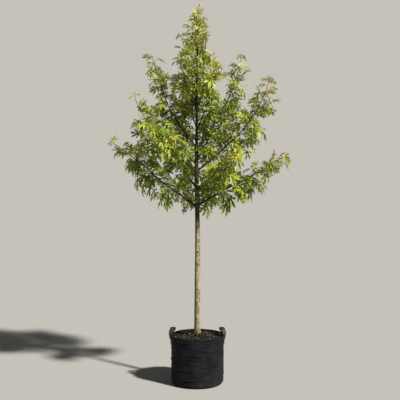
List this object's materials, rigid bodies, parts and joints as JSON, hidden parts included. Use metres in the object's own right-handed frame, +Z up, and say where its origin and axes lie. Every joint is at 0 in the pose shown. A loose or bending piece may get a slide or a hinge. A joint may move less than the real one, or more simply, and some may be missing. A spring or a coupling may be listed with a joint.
{
  "type": "potted silver maple tree",
  "caption": "Young feathered silver maple with a straight clear stem and a spired open crown, growing in a round black woven planter with two webbing handles.",
  "frame": {"origin": "centre of the planter's flat underside, on the ground", "axes": "+Z up along the stem, +X to the right-hand handle, +Y away from the viewer"},
  "size_m": [1.484, 1.1856, 3.222],
  "materials": {
    "black_weave": "satin",
    "webbing": "satin",
    "compost": "matte",
    "stem_bark": "matte",
    "twig_bark": "satin",
    "leaves": "satin"
  },
  "bodies": {
    "root": {"pot": "black_weave", "soil": "compost", "handle_left": "webbing", "handle_right": "webbing", "stem": "stem_bark", "bough_foot_left": "twig_bark", "bough_foot_right": "twig_bark", "bough_high_back": "twig_bark", "bough_high_front": "twig_bark", "bough_high_left": "twig_bark", "bough_high_right": "twig_bark", "bough_low_back": "twig_bark", "bough_low_front": "twig_bark", "bough_low_left": "twig_bark", "bough_low_right": "twig_bark", "bough_mid_back": "twig_bark", "bough_mid_front": "twig_bark", "bough_mid_left": "twig_bark", "bough_mid_right": "twig_bark", "bough_top_left": "twig_bark", "bough_top_right": "twig_bark", "bough_upper_back": "twig_bark", "bough_upper_front": "twig_bark", "bough_upper_left": "twig_bark", "bough_upper_right": "twig_bark", "bough_core_back": "twig_bark", "bough_core_left": "twig_bark", "bough_core_right": "twig_bark", "bough_inner_left": "twig_bark", "bough_inner_right": "twig_bark", "leaves_foot_left": "leaves", "leaves_foot_right": "leaves", "leaves_high_back": "leaves", "leaves_high_front": "leaves", "leaves_high_left": "leaves", "leaves_high_right": "leaves", "leaves_leader": "leaves", "leaves_low_back": "leaves", "leaves_low_front": "leaves", "leaves_low_left": "leaves", "leaves_low_right": "leaves", "leaves_mid_back": "leaves", "leaves_mid_front": "leaves", "leaves_mid_left": "leaves", "leaves_mid_right": "leaves", "leaves_top_left": "leaves", "leaves_top_right": "leaves", "leaves_upper_back": "leaves", "leaves_upper_front": "leaves", "leaves_upper_left": "leaves", "leaves_upper_right": "leaves", "leaves_core_back": "leaves", "leaves_core_left": "leaves", "leaves_core_right": "leaves", "leaves_inner_left": "leaves", "leaves_inner_right": "leaves"}
  },
  "joints": []
}
